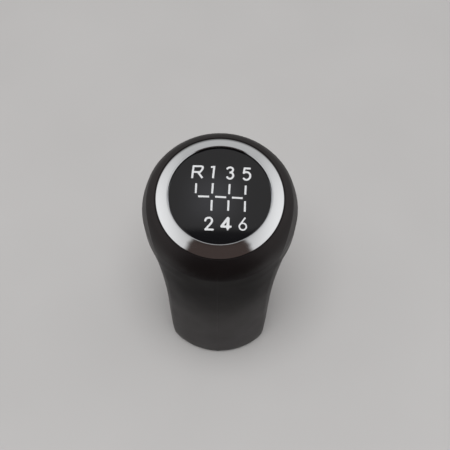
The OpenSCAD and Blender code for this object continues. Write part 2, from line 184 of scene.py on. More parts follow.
class NodeTree:
    """A short way to write a node tree."""

    def __init__(self, tree: bpy.types.NodeTree) -> None:
        """Empties a tree and adds its texture coordinates.

        Args:
            tree: The tree of a material or a world.
        """
        self.tree = tree
        tree.nodes.clear()
        self.place = self.add("ShaderNodeTexCoord")

    def add(self, kind: str, **values: object) -> bpy.types.Node:
        """Adds a node.

        Args:
            kind: The node's type.
            **values: Its plain properties.

        Returns:
            The node.
        """
        node = self.tree.nodes.new(kind)
        for key, value in values.items():
            setattr(node, key, value)
        return node

    def join(self, source: bpy.types.Node, out: str | int, target: bpy.types.Node, into: str | int) -> None:
        """Links one node's output to another's input."""
        self.tree.links.new(source.outputs[out], target.inputs[into])

    def size(self, source: bpy.types.Node, out: str) -> bpy.types.Node:
        """Adds a node that drops a value's sign.

        Args:
            source: The node that gives the value.
            out: Its output.

        Returns:
            The node.
        """
        size = self.add("ShaderNodeMath", operation="ABSOLUTE")
        self.join(source, out, size, 0)
        return size

    def remap(self, source: bpy.types.Node, out: str | int, taken: Flat, given: Flat,
              ease: str = "LINEAR") -> bpy.types.Node:
        """Adds a node that maps one range of values to another.

        Args:
            source: The node that gives the value.
            out: Its output.
            taken: The range that is mapped.
            given: The range that it is mapped to.
            ease: How the values run between the range's ends.

        Returns:
            The node, with the mapped value as its Result.
        """
        remap = self.add("ShaderNodeMapRange", interpolation_type=ease)
        for socket, value in zip(("From Min", "From Max", "To Min", "To Max"), (*taken, *given)):
            remap.inputs[socket].default_value = value
        self.join(source, out, remap, "Value")
        return remap

    def ramp(self, source: bpy.types.Node, out: str, tones: Sequence[Colour],
             stops: Flat = (0.0, 1.0)) -> bpy.types.Node:
        """Adds a ramp between two tones.

        Args:
            source: The node that gives the place on the ramp.
            out: Its output.
            tones: The two tones.
            stops: Where each is reached.

        Returns:
            The ramp's node.
        """
        ramp = self.add("ShaderNodeValToRGB")
        for element, tone, stop in zip(ramp.color_ramp.elements, tones, stops):
            element.position = stop
            element.color = (*tone, 1)
        self.join(source, out, ramp, "Fac")
        return ramp


class SurfaceNodes(NodeTree):
    """The node tree of a solid surface, with patterns on the piece's own coordinates."""

    def __init__(self, tree: bpy.types.NodeTree) -> None:
        """Empties a material's tree and adds its shader.

        Args:
            tree: The material's tree.
        """
        super().__init__(tree)
        self.shader = self.add("ShaderNodeBsdfPrincipled")
        self.join(self.shader, "BSDF", self.add("ShaderNodeOutputMaterial"), "Surface")

    def noise(self, size: float, detail: float = 2.0, rough: float = 0.5,
              stretch: Stretch = (1.0, 1.0, 1.0)) -> bpy.types.Node:
        """Adds a noise whose features are about a given size.

        Args:
            size: Feature size in millimetres.
            detail: Octaves of finer noise.
            rough: How strong the finer octaves are.
            stretch: Scale of the pattern along X, Y and Z.

        Returns:
            The noise's node.
        """
        mapping = self.add("ShaderNodeMapping")
        mapping.inputs["Scale"].default_value = stretch
        self.join(self.place, "Object", mapping, "Vector")
        noise = self.add("ShaderNodeTexNoise")
        for socket, value in (("Scale", 1 / (size * MM)), ("Detail", detail), ("Roughness", rough)):
            noise.inputs[socket].default_value = value
        self.join(mapping, "Vector", noise, "Vector")
        return noise

    def cells(self, size: float, smoothness: float = 0.6) -> bpy.types.Node:
        """Adds smooth cells.

        Args:
            size: Their size in millimetres.
            smoothness: How far they run into each other.

        Returns:
            The cells' node.
        """
        cells = self.add("ShaderNodeTexVoronoi", feature="SMOOTH_F1")
        cells.inputs["Scale"].default_value = 1 / (size * MM)
        cells.inputs["Smoothness"].default_value = smoothness
        self.join(self.place, "Object", cells, "Vector")
        return cells

    def span(self, source: bpy.types.Node, given: Flat, into: str, taken: Flat = MIDDLE) -> None:
        """Maps a noise to a range of values on one of the shader's sockets."""
        self.join(self.remap(source, "Fac", taken, given), "Result", self.shader, into)

    def tones(self, source: bpy.types.Node, out: str, tones: Sequence[Colour], stops: Flat = MIDDLE) -> None:
        """Colours the surface between two tones by a pattern."""
        self.join(self.ramp(source, out, tones, stops), "Color", self.shader, "Base Color")

    def bump(self, *layers: tuple[bpy.types.Node, str, float]) -> None:
        """Stacks bump layers.

        Args:
            *layers: Each one's pattern with its output and its height in millimetres.
        """
        below = None
        for source, out, height in layers:
            bump = self.add("ShaderNodeBump")
            bump.inputs["Strength"].default_value = 1.0
            bump.inputs["Distance"].default_value = height * MM
            self.join(source, out, bump, "Height")
            if below:
                self.join(below, "Normal", bump, "Normal")
            below = bump
        self.join(below, "Normal", self.shader, "Normal")

    def set(self, **values: float | Colour) -> None:
        """Sets constants on the shader's own sockets.

        Args:
            **values: A value for each socket, with underscores for the spaces in its name.
        """
        for key, value in values.items():
            socket = self.shader.inputs[key.replace("_", " ")]
            socket.default_value = (*value, 1) if isinstance(value, tuple) else value


@dataclass(frozen=True)
class Finish:
    """A named surface finish. Each kind builds its own material."""

    name: str
    slot: str

    def material(self) -> bpy.types.Material:
        """Makes the finish's material once.

        Returns:
            The material, the known one where it was made before.
        """
        known = bpy.data.materials.get(self.name)
        if known:
            return known
        material = bpy.data.materials.new(self.name)
        material.use_nodes = True
        self.paint(SurfaceNodes(material.node_tree))
        return material

    def paint(self, nodes: SurfaceNodes) -> None:
        """Builds the node tree."""
        raise NotImplementedError


@dataclass(frozen=True)
class SoftTouch(Finish):
    """Matt soft-touch moulding: near black, with a fine grain and a slow unevenness of tone and sheen."""

    shades: Sequence[Colour] = ((0.0048, 0.0036, 0.0039), (0.0066, 0.0052, 0.0055))
    roughness: Flat = (0.40, 0.47)
    grain: float = 0.32
    grain_depth: float = 0.010
    dust: float = 0.11
    dust_depth: float = 0.010 / 3
    cloud: float = 9.0
    index: float = 1.43
    tint: Colour = (1.0, 0.92, 0.92)

    def paint(self, nodes: SurfaceNodes) -> None:
        """Builds the grain, the clouding and the sheen.

        Args:
            nodes: The tree to build in.
        """
        cloud = nodes.noise(self.cloud, 3)
        nodes.tones(cloud, "Fac", self.shades)
        nodes.span(cloud, self.roughness, "Roughness")
        nodes.bump((nodes.cells(self.grain), "Distance", self.grain_depth),
                   (nodes.noise(self.dust, 1), "Fac", self.dust_depth))
        nodes.set(IOR=self.index, Specular_Tint=self.tint)


@dataclass(frozen=True)
class Plating(Finish):
    """Bright plating with a faint ripple and polishing haze."""

    tone: Colour = (0.83, 0.85, 0.87)
    roughness: Flat = (0.07, 0.11)
    haze: float = 0.5
    ripple: float = 1.4
    ripple_depth: float = 0.0012

    def paint(self, nodes: SurfaceNodes) -> None:
        """Builds the haze and the ripple.

        Args:
            nodes: The tree to build in.
        """
        nodes.span(nodes.noise(self.haze, 4), self.roughness, "Roughness")
        nodes.bump((nodes.noise(self.ripple, 1), "Fac", self.ripple_depth))
        nodes.set(Base_Color=self.tone, Metallic=1.0)


@dataclass(frozen=True)
class GlossPanel(Finish):
    """Piano-black panel with a clear face, faint handling haze and a slow waviness."""

    tone: Colour = (0.006, 0.006, 0.007)
    roughness: Flat = (0.03, 0.08)
    haze: float = 4.0
    haze_range: Flat = (0.4, 0.8)
    wave: float = 7.0
    wave_depth: float = 0.004
    index: float = 1.52
    coat: float = 0.35
    coat_roughness: float = 0.03

    def paint(self, nodes: SurfaceNodes) -> None:
        """Builds the haze and the waviness of the face.

        Args:
            nodes: The tree to build in.
        """
        nodes.span(nodes.noise(self.haze, 5, 0.6), self.roughness, "Roughness", self.haze_range)
        nodes.bump((nodes.noise(self.wave, 1), "Fac", self.wave_depth))
        nodes.set(Base_Color=self.tone, IOR=self.index, Coat_Weight=self.coat,
                  Coat_Roughness=self.coat_roughness)


@dataclass(frozen=True)
class Ink(Finish):
    """Opaque white screen print."""

    shades: Sequence[Colour] = ((0.60, 0.61, 0.63), (0.72, 0.73, 0.74))
    cover: float = 0.3
    cover_depth: float = 0.002
    roughness: float = 0.32

    def paint(self, nodes: SurfaceNodes) -> None:
        """Builds the ink's slightly uneven cover.

        Args:
            nodes: The tree to build in.
        """
        cover = nodes.noise(self.cover, 3)
        nodes.tones(cover, "Fac", self.shades)
        nodes.bump((cover, "Fac", self.cover_depth))
        nodes.set(Roughness=self.roughness)


@dataclass(frozen=True)
class Moulded(Finish):
    """Moulded plastic or rubber with a spark-eroded grain."""

    shades: Sequence[Colour]
    roughness: Flat = (0.4, 0.55)
    grain: float = 0.18
    grain_depth: float = 0.006
    flow: float = 6.0
    flow_lay: Stretch = (1.0, 1.0, 0.4)
    subsurface: float = 0.0
    subsurface_reach: float = 2.0

    def paint(self, nodes: SurfaceNodes) -> None:
        """Builds the grain and the flow marks.

        Args:
            nodes: The tree to build in.
        """
        flow = nodes.noise(self.flow, 3, stretch=self.flow_lay)
        nodes.tones(flow, "Fac", self.shades)
        nodes.span(flow, self.roughness, "Roughness")
        nodes.bump((nodes.noise(self.grain, 2), "Fac", self.grain_depth))
        nodes.set(Subsurface_Weight=self.subsurface, Subsurface_Scale=self.subsurface_reach * MM)


class Lay(Enum):
    """Which way the marks of a worked metal run."""

    TURNED = (1.0, 1.0, 26.0)
    DRAWN = (3.0, 3.0, 3.0)


@dataclass(frozen=True)
class WorkedSteel(Finish):
    """Bare or plated steel with the marks of its making."""

    tone: Colour = (0.52, 0.53, 0.55)
    lay: Lay = Lay.TURNED
    mark: float = 1.2
    mark_depth: float = 0.003
    roughness: Flat = (0.22, 0.4)

    def paint(self, nodes: SurfaceNodes) -> None:
        """Builds the tool marks.

        Args:
            nodes: The tree to build in.
        """
        marks = nodes.noise(self.mark, 3, stretch=self.lay.value)
        nodes.span(marks, self.roughness, "Roughness")
        nodes.bump((marks, "Fac", self.mark_depth))
        nodes.set(Base_Color=self.tone, Metallic=1.0)


@dataclass(frozen=True)
class Foam(Finish):
    """Foam with closed cells, and painted shade in their hollows."""

    shades: Sequence[Colour] = ((0.02, 0.02, 0.02), (0.05, 0.05, 0.05))
    cell: float = 0.35
    pit_shade_range: Flat = (0.1, 0.8)
    cell_depth: float = 0.06
    roughness: float = 0.85

    def paint(self, nodes: SurfaceNodes) -> None:
        """Builds the cells, with painted shade that darkens each cell towards its sunken middle.

        Args:
            nodes: The tree to build in.
        """
        cells = nodes.cells(self.cell)
        # Painted shade: the tone darkens with the same distance that sinks the bump, towards each cell's
        # middle.
        nodes.tones(cells, "Distance", self.shades, self.pit_shade_range)
        nodes.bump((cells, "Distance", self.cell_depth))
        nodes.set(Roughness=self.roughness)


@dataclass(frozen=True)
class Backdrop(Finish):
    """Pale painted board of the studio floor."""

    shades: Sequence[Colour] = ((0.506, 0.499, 0.496), (0.526, 0.519, 0.516))
    mottle: float = 60.0
    roughness: float = 0.8
    gloss: float = 0.2

    def paint(self, nodes: SurfaceNodes) -> None:
        """Builds a faint mottling.

        Args:
            nodes: The tree to build in.
        """
        nodes.tones(nodes.noise(self.mottle, 2), "Fac", self.shades)
        nodes.set(Roughness=self.roughness, Specular_IOR_Level=self.gloss)


GRIP_SKIN = SoftTouch("soft_touch_black", "grip_skin")
BEZEL_CHROME = Plating("bezel_plating", "bezel_chrome")
PLATE_GLOSS = GlossPanel("shift_plate_gloss", "plate_gloss")
PRINT_WHITE = Ink("shift_pattern_ink", "plate_gloss")
FLOOR_BOARD = Backdrop("studio_floor", "")
INNER_FINISHES: dict[str, Finish] = {
    "core_frame": Moulded("glass_filled_core", "core_plastic", ((0.075, 0.075, 0.08), (0.1, 0.1, 0.105))),
    "base_cap": Moulded("base_cap_plastic", "cap_plastic", ((0.022, 0.022, 0.024), (0.03, 0.03, 0.032))),
    "lever_sleeve": Moulded("natural_acetal", "sleeve_plastic", ((0.66, 0.64, 0.58), (0.74, 0.72, 0.66)),
                            (0.28, 0.4), grain=0.5, grain_depth=0.002, subsurface=0.15),
    "spring_ring": WorkedSteel("spring_wire", "spring_steel", (0.6, 0.6, 0.61), Lay.DRAWN, mark=0.4,
                               mark_depth=0.001),
    "end_stop": Moulded("stop_rubber", "stop_rubber", ((0.02, 0.02, 0.02), (0.03, 0.03, 0.03)), (0.6, 0.75)),
    "balance_weight": WorkedSteel("plated_weight", "weight_steel"),
    "damping_washer": Foam("washer_foam", "washer_foam"),
    "adhesive_pad": Moulded("foam_tape", "tape", ((0.74, 0.73, 0.68), (0.8, 0.79, 0.74)), (0.6, 0.8)),
}


@dataclass(frozen=True)
class Seam:
    """The fine groove that a mould's parting line leaves, and the witness of the gate at its foot."""

    half_width: float = 0.14
    depth: float = 0.07
    nub_height: float = 0.9
    nub_spread: float = 0.45
    nub_rise: float = 0.22

    def groove(self, across: float) -> float:
        """Returns the groove's depth at a distance across the parting line."""
        return self.depth * math.exp(-((across / self.half_width) ** 2))

    def nub(self, across: float, height: float) -> float:
        """Returns how far the gate's witness stands proud at a point near the foot of the front line."""
        reach = (across / self.nub_spread) ** 2 + ((height - self.nub_height) / self.nub_spread) ** 2
        return self.nub_rise * math.exp(-reach)


@dataclass(frozen=True)
class Section:
    """One section of the grip: a wide arc in front, up to the ridge, and a squared oval behind it."""

    width: float
    front: float
    back: float
    square: float
    ridge: float
    round_angle: float = 0.05
    slope_step: float = 0.02

    def side(self, angle: float) -> float:
        """Returns the squared oval's radius.

        Args:
            angle: From the front, in radians.

        Returns:
            The radius in millimetres.
        """
        across = abs(math.sin(angle) / self.width) ** self.square
        along = abs(math.cos(angle) / self.back) ** self.square
        return (across + along) ** (-1 / self.square)

    @cached_property
    def arc(self) -> float:
        """The radius of the front arc, which meets the oval at the ridge."""
        corner = self.side(self.ridge)
        rise = self.front - corner * math.cos(self.ridge)
        return ((corner * math.sin(self.ridge)) ** 2 + rise ** 2) / (2 * rise)

    def face(self, angle: float) -> float:
        """Returns the front arc's radius.

        Args:
            angle: From the front, in radians.

        Returns:
            The radius in millimetres.
        """
        behind = self.front - self.arc
        b = math.cos(angle) * behind
        return b + math.sqrt(max(0.0, b * b - behind ** 2 + self.arc ** 2))

    @cached_property
    def round_off(self) -> float:
        """How much the rounding takes off the ridge, in step with how sharply the two faces meet."""
        step = self.slope_step
        before = self.side(self.ridge - step) - self.face(self.ridge - step)
        after = self.face(self.ridge + step) - self.side(self.ridge + step)
        return (before + after) / (2 * step) * self.round_angle / 4

    def radius(self, angle: float) -> float:
        """Returns the section's radius.

        Args:
            angle: From the front, in radians.

        Returns:
            The radius in millimetres, with the ridge rounded off.
        """
        plain = self.face(angle) if angle < self.ridge else self.side(angle)
        near = max(0.0, 1 - abs(angle - self.ridge) / self.round_angle)
        return plain - self.round_off * near ** 2


@dataclass(frozen=True)
class Crest:
    """The ridge's proud line on the head: it climbs the shoulder, levels out and dies away behind."""

    height: float = 0.3
    reach: float = 4.5
    lip: float = 0.05
    rise: float = 6.6
    run: float = 4.3
    grow: Flat = (0.05, 0.45)
    fade: Flat = (125.0, 90.0)
    round_off: float = 0.3
    climb_end: float = 0.93

    @property
    def slope(self) -> float:
        """How steeply the crest starts to climb from the widest circle."""
        return self.rise / self.run

    def flank(self, away: float) -> float:
        """Returns the flank's height at a distance from the crest, with the crest itself rounded off."""
        return self.height * max(0.0, 1 - math.hypot(away, self.round_off) / self.reach) ** 2

    def on_neck(self, across: float, t: float) -> float:
        """Returns how far the neck stands proud, at a distance across from the ridge."""
        return self.flank(across / math.hypot(1, 1 / self.slope)) * eased(t, *self.grow)

    def on_shoulder(self, angle: float, across: float, height: float, roll_r: float) -> float:
        """Returns how far the shoulder stands proud of its plain roll, or is cut back by the facet.

        Args:
            angle: From the front, in radians.
            across: Distance round from where the ridge meets the widest circle.
            height: Distance up the shoulder from the widest circle.
            roll_r: Radius of the shoulder's plain roll.

        Returns:
            The height over the plain shoulder in millimetres.
        """
        fall = math.exp(-max(0.0, across) / self.run)
        line = self.rise * (1 - fall) if across > 0 else self.slope * across
        away = (height - line) / math.hypot(1, self.slope * fall)
        level = self.lip + (self.height - self.lip) * fall
        if height >= line:
            proud = level / self.height * self.flank(away)
        else:
            chord = height * (line - height) / (2 * roll_r)
            proud = level * height / line - chord
        return proud * eased(math.degrees(angle), *self.fade)

    def angle_at(self, height: float, foot: float, radius: float) -> float:
        """Returns the angle at which the crest crosses a ring of the shoulder, short of its level stretch."""
        return foot - self.run / radius * math.log(1 - min(self.climb_end, height / self.rise))


@dataclass(frozen=True)
class GripForm:
    """The grip's outer form: sections along a bent spine, and a head that rolls over to the bezel."""

    head_r: float = 25.4
    shoulder_r: float = 10.8
    lip_r: float = 20.85
    width: Sequence[float] = (16.85, 19.6, 16.5, 25.8, 25.4)
    front: Sequence[float] = (16.15, 19.4, 22.4, 25.4, 25.4)
    back: Sequence[float] = (15.55, 16.0, 16.6, 25.4, 25.4)
    neck_square: float = 3.7
    ridge_angles: Sequence[float] = (62.6, 44.0, 50.6)
    edge_r: float = 1.4
    belly: float = 0.35
    belly_at: float = 0.86
    belly_reach: float = 0.06
    neck_inside: float = 0.002
    seam: Seam = Seam()
    crest: Crest = Crest()

    @property
    def roll_end(self) -> float:
        """Angle through which the shoulder rolls over, in radians."""
        return math.acos(1 - (self.head_r - self.lip_r) / self.shoulder_r)

    @property
    def wide_centre(self) -> Vector:
        """Centre of the head's widest circle."""
        return HEAD.centre - HEAD.up * self.shoulder_r * math.sin(self.roll_end)

    @staticmethod
    def blend(values: Sequence[float], t: float) -> float:
        """Returns the point at t of the smooth curve that aims at the values in turn."""
        last = len(values) - 1
        return sum(math.comb(last, i) * v * (1 - t) ** (last - i) * t ** i for i, v in enumerate(values))

    def spine(self, t: float) -> Vector:
        """Returns the centre of a section.

        Args:
            t: Place along the spine, from 0 at the underside to 1 at the widest circle.

        Returns:
            The centre in millimetres.
        """
        end = self.wide_centre
        size = end.length
        return (Vector((0, 0, size)) * (t ** 3 - 2 * t ** 2 + t) + end * (3 * t ** 2 - 2 * t ** 3)
                + HEAD.up * size * (t ** 3 - t ** 2))

    def direction(self, t: float) -> Vector:
        """Returns the spine's direction.

        Args:
            t: Place along the spine.

        Returns:
            A unit vector.
        """
        end = self.wide_centre
        size = end.length
        slope = (Vector((0, 0, size)) * (3 * t ** 2 - 4 * t + 1) + end * (6 * t - 6 * t ** 2)
                 + HEAD.up * size * (3 * t ** 2 - 2 * t))
        return slope.normalized()

    def ridge(self, t: float) -> float:
        """Returns the ridge's angle from the front at t, in radians."""
        return math.radians(self.blend(self.ridge_angles, t))

    def section(self, t: float, inset: float) -> Section:
        """Returns the neck's plain section.

        Args:
            t: Place along the spine.
            inset: Distance inside the skin.

        Returns:
            The section.
        """
        square = 2 + (self.neck_square - 2) * (1 + math.cos(math.pi * t)) / 2
        full = self.belly * math.exp(-(((t - self.belly_at) / self.belly_reach) ** 2))
        width = min(self.blend(self.width, t) + full, self.head_r - self.neck_inside)
        return Section(width - inset, self.blend(self.front, t) - inset, self.blend(self.back, t) - inset,
                       square, self.ridge(t))


@dataclass
class Grip:
    """The moulded grip: its fine outer skin, the lip round the bezel, the pocket and the inner wall."""

    form: GripForm = GripForm()
    neck_rings: int = 104
    crest_rings: int = 26
    crest_ease: float = 1.5
    shoulder_rings: int = 18
    shoulder_ease: float = 1.4
    edge_rings: int = 7
    lip_rings: int = 4
    under_rings: int = 4
    under_start: float = 0.42
    inner_rings: int = 18
    inner_end: float = 0.06
    seam_shares: Sequence[float] = (0.0, 0.0028, 0.0056, 0.009, 0.014, 0.022)
    ridge_shares: Sequence[float] = (0.055, 0.04, 0.029, 0.02, 0.013, 0.0065)
    ridge_squeeze: float = 0.7
    front_steps: int = 16
    side_steps: int = 24
    side_start: float = 0.04
    wall: float = 2.6
    pocket_r: float = 20.55
    pocket_depth: float = 3.6
    ledge_r: float = 20.95
    lip_round: float = 0.16
    lip_top: float = 0.02
    cap_margin: float = 1.8
    cap_depth: float = 1.8

    @cached_property
    def shares(self) -> list[Flat]:
        """Where the points of half a section lie, as shares of the front face and of the side."""
        seam = self.seam_shares
        ridge = self.ridge_shares
        spread = [lerp(seam[-1], 1 - ridge[0], i / self.front_steps) for i in range(1, self.front_steps)]
        front = [*seam, *spread, *(1 - share for share in ridge), 1.0]
        rest = [lerp(self.side_start, 1 - seam[-1], i / self.side_steps) for i in range(1, self.side_steps)]
        side = [*(share * self.ridge_squeeze for share in reversed(ridge)), *rest,
                *(1 - share for share in reversed(seam))]
        return [(share, 0.0) for share in front] + [(1.0, share) for share in side]

    def angles(self, ridge: float) -> list[float]:
        """Returns the angles from the front of one half of a section, crowded at the seams and the ridge."""
        return [ridge * a + (math.pi - ridge) * b for a, b in self.shares]

    def section(self, ridge: float, radius: Callable[[float], float], centre: Vector,
                direction: Vector) -> list[Vector]:
        """Returns one whole section, square to a direction, in millimetres.

        Args:
            ridge: Angle of the ridge, in radians.
            radius: Gives the radius at an angle from the front.
            centre: The section's centre.
            direction: The section's normal.

        Returns:
            Its points, from the front round the right and back by the left.
        """
        half = [(radius(a) * math.sin(a), -radius(a) * math.cos(a)) for a in self.angles(ridge)]
        whole = half + [(-x, y) for x, y in half[-2:0:-1]]
        behind = Vector((0, direction.z, -direction.y))
        return [centre + Vector((x, 0, 0)) + behind * y for x, y in whole]

    def neck(self, t: float, inset: float, lift: float | None = None, marked: bool = True) -> list[Vector]:
        """Returns the neck's section at a place along the spine.

        Args:
            t: Place along the spine.
            inset: Distance inside the skin.
            lift: Height of a level section, where it isn't the spine's own.
            marked: Whether the seam and the gate's witness show.

        Returns:
            The section's points.
        """
        centre = self.form.spine(t)
        direction = self.form.direction(t)
        if lift is not None:
            centre = Vector((0, 0, lift))
            direction = Vector((0, 0, 1))
        section = self.form.section(t, inset)
        radius = partial(self.skin_radius, section, t, centre.z) if marked else section.radius
        return self.section(section.ridge, radius, centre, direction)

    def skin_radius(self, section: Section, t: float, height: float, angle: float) -> float:
        """Returns the neck's radius with the ridge, the parting line and the gate's witness.

        Args:
            section: The plain section.
            t: Place along the spine.
            height: Height of the section's centre.
            angle: From the front, in radians.

        Returns:
            The radius in millimetres.
        """
        plain = section.radius(angle)
        across = plain * math.sin(angle)
        proud = self.form.crest.on_neck((angle - section.ridge) * plain, t)
        if angle < math.pi / 2:
            proud += self.form.seam.nub(across, height)
        return plain - self.form.seam.groove(across) + proud

    def shoulder(self, roll: float) -> list[Vector]:
        """Returns the shoulder's section.

        Args:
            roll: Angle of its roll over, in radians.

        Returns:
            The section's points.
        """
        form = self.form
        r = form.head_r - form.shoulder_r * (1 - math.cos(roll))
        height = form.shoulder_r * roll
        ridge = form.crest.angle_at(height, form.ridge(1), form.head_r)
        centre = form.wide_centre + HEAD.up * form.shoulder_r * math.sin(roll)
        return self.section(ridge, partial(self.shoulder_radius, r, height), centre, HEAD.up)

    def shoulder_radius(self, r: float, height: float, angle: float) -> float:
        """Returns the shoulder's radius with the ridge, the facet and the parting line.

        Args:
            r: The plain shoulder's radius.
            height: Distance up the shoulder from the widest circle.
            angle: From the front, in radians.

        Returns:
            The radius in millimetres.
        """
        form = self.form
        across = (angle - form.ridge(1)) * r
        proud = form.crest.on_shoulder(angle, across, height, form.shoulder_r)
        return r + proud - form.seam.groove(r * math.sin(angle))

    def circle(self, r: float, height: float) -> list[Vector]:
        """Returns a round section of the head.

        Args:
            r: Its radius.
            height: Its height over the bezel's outer edge.

        Returns:
            The section's points.
        """
        form = self.form
        ridge = form.crest.angle_at(form.crest.rise, form.ridge(1), form.head_r)
        return self.section(ridge, lambda angle: r, HEAD.centre + HEAD.up * height, HEAD.up)

    def rings(self) -> Iterator[list[Vector]]:
        """Yields the rings from the foot's edge up the skin, over the lip and down the inner wall."""
        form = self.form
        start = form.edge_r / form.wide_centre.length
        for i in range(self.edge_rings):
            a = math.pi / 2 * i / self.edge_rings
            yield self.neck(0, form.edge_r * (1 - math.sin(a)), form.edge_r * (1 - math.cos(a)))
        for i in range(self.neck_rings + 1):
            yield self.neck(lerp(start, 1, i / self.neck_rings), 0)
        crest_roll = form.crest.rise / form.shoulder_r
        for i in range(1, self.crest_rings + 1):
            yield self.shoulder(crest_roll * (1 - (1 - i / self.crest_rings) ** self.crest_ease))
        for i in range(1, self.shoulder_rings + 1):
            share = (i / self.shoulder_rings) ** self.shoulder_ease
            yield self.shoulder(lerp(crest_roll, form.roll_end, share))
        for i in range(self.lip_rings):
            a = math.pi / 2 * i / (self.lip_rings - 1)
            yield self.circle(self.pocket_r + self.lip_round * (1 - math.sin(a)),
                              self.lip_top - self.lip_round * (1 - math.cos(a)))
        yield self.circle(self.pocket_r, -self.pocket_depth)
        yield self.circle(self.ledge_r, -self.pocket_depth)
        wide_h = -form.shoulder_r * math.sin(form.roll_end)
        for i in range(self.under_rings):
            a = lerp(form.roll_end * self.under_start, 0, i / self.under_rings)
            yield self.circle(form.head_r - self.wall - form.shoulder_r * (1 - math.cos(a)),
                              wide_h + form.shoulder_r * math.sin(a))
        for i in range(self.inner_rings):
            yield self.neck(lerp(1, self.inner_end, i / self.inner_rings), self.wall, marked=False)
        yield self.neck(0, self.wall, self.cap_depth, False)
        yield self.neck(0, self.cap_margin, self.cap_depth, False)
        yield self.neck(0, self.cap_margin, 0, False)
        yield self.neck(0, form.edge_r, 0)

    def build(self) -> bpy.types.Object:
        """Makes the grip by extruding its first ring through all the others.

        Returns:
            The grip's skin.
        """
        rings = list(self.rings())
        bm = bmesh.new()
        ring = bmesh.ops.create_circle(bm, cap_ends=False, radius=1, segments=len(rings[0]))["verts"]
        for vert, point in zip(ring, rings[0]):
            vert.co = point
        for points in rings[1:]:
            ring = MeshWork.next_ring(bm, ring)
            for vert, point in zip(ring, points):
                vert.co = point
        bmesh.ops.remove_doubles(bm, verts=bm.verts[:], dist=MERGE)
        return MeshWork.piece(bm, "grip_skin", Matrix.Scale(MM, 4))


@dataclass
class Bezel:
    """The chromed bezel: a convex band with rolled edges, its floor, its skirt and the snap hooks."""

    outer_r: float = 20.45
    window_r: float = 16.4
    rise: float = 2.7
    crown: float = 0.18
    rim_flat: float = 0.25
    floor_top: float = 0.5
    floor_under: float = -1.0
    skirt_in: float = 18.85
    skirt_h: float = 3.6
    band_points: int = 14
    turn_steps: int = 256
    hook_count: int = 3
    hook_at: float = 90.0
    hook_span: float = 24.0
    hook_r: float = 17.0
    hook_t: float = 1.2
    barb: float = 0.9
    barb_top: float = -5.95
    barb_h: float = 1.8
    hook_steps: int = 12
    edge_round: float = 0.14
    rim_rounds: Flat = (0.16, 0.12)
    skirt_round: float = 0.3

    def band(self) -> list[Flat]:
        """Works out the band's bowed line.

        Returns:
            Radius and height of its points, from its outer edge to its rim.
        """
        start = Vector((self.outer_r, 0))
        run = Vector((self.window_r + self.rim_flat, self.rise)) - start
        side = Vector((run.y, -run.x)).normalized()
        shares = [i / self.band_points for i in range(self.band_points + 1)]
        return [tuple(start + run * s + side * self.crown * 4 * s * (1 - s)) for s in shares]

    def hooks(self, bm: bmesh.types.BMesh) -> None:
        """Adds the hooks under the floor, each a short spin of its profile with closed ends.

        Args:
            bm: The bezel's mesh, about the head's axis.
        """
        out = self.hook_r + self.hook_t
        low = self.barb_top - self.barb_h
        profile = [(self.hook_r, self.floor_under), (out, self.floor_under), (out, self.barb_top),
                   (out + self.barb, self.barb_top), (out - self.hook_t / 3, low), (self.hook_r, low)]
        for i in range(self.hook_count):
            verts = MeshWork.wire(bm, profile, closed=True)
            face = bm.faces.new(verts)
            start = self.hook_at + 360 * i / self.hook_count - self.hook_span / 2
            turn = Matrix.Rotation(math.radians(start), 3, "Z")
            bmesh.ops.rotate(bm, verts=verts, cent=(0, 0, 0), matrix=turn)
            bmesh.ops.spin(bm, geom=[face], cent=(0, 0, 0), axis=(0, 0, 1),
                           angle=math.radians(self.hook_span), steps=self.hook_steps, use_merge=False)

    def build(self) -> bpy.types.Object:
        """Makes the bezel by spinning its profile, and adds the hooks.

        Returns:
            The bezel.
        """
        bm = bmesh.new()
        band = self.band()
        inner = [(self.window_r, self.rise - self.rim_flat), (self.window_r, self.floor_top),
                 (0, self.floor_top), (0, self.floor_under), (self.skirt_in, self.floor_under),
                 (self.skirt_in, -self.skirt_h), (self.outer_r, -self.skirt_h)]
        verts = MeshWork.wire(bm, band + inner, closed=True)
        rim, under_rim = verts[len(band) - 1:len(band) + 1]
        rounds = {verts[0]: self.edge_round, rim: self.rim_rounds[0], under_rim: self.rim_rounds[1],
                  verts[-1]: self.skirt_round, verts[-2]: self.skirt_round}
        for vert, radius in rounds.items():
            MeshWork.round_corner(bm, vert, radius)
        MeshWork.turn(bm, self.turn_steps)
        self.hooks(bm)
        return MeshWork.piece(bm, "bezel_ring", HEAD.matrix)


@dataclass
class ShiftPlate:
    """The gloss plate that sits in the bezel, with a low domed face."""

    radius: float = 16.25
    under: float = 0.75
    edge_h: float = 1.8
    crown: float = 0.5
    edge_round: float = 0.12
    dome_points: int = 26
    turn_steps: int = 192

    def face_height(self, r: float) -> float:
        """Returns the face's height over the bezel's outer edge at a distance from the axis."""
        return self.edge_h + self.crown * (1 - (r / self.radius) ** 2)

    def build(self) -> bpy.types.Object:
        """Makes the plate by spinning its profile.

        Returns:
            The plate.
        """
        bm = bmesh.new()
        rim = self.dome_points - 1
        dome = [(self.radius * i / rim, self.face_height(self.radius * i / rim)) for i in range(rim, -1, -1)]
        verts = MeshWork.wire(bm, [(0, self.under), (self.radius, self.under)] + dome)
        MeshWork.round_corner(bm, verts[2], self.edge_round)
        MeshWork.turn(bm, self.turn_steps)
        return MeshWork.piece(bm, "shift_plate_face", HEAD.matrix)


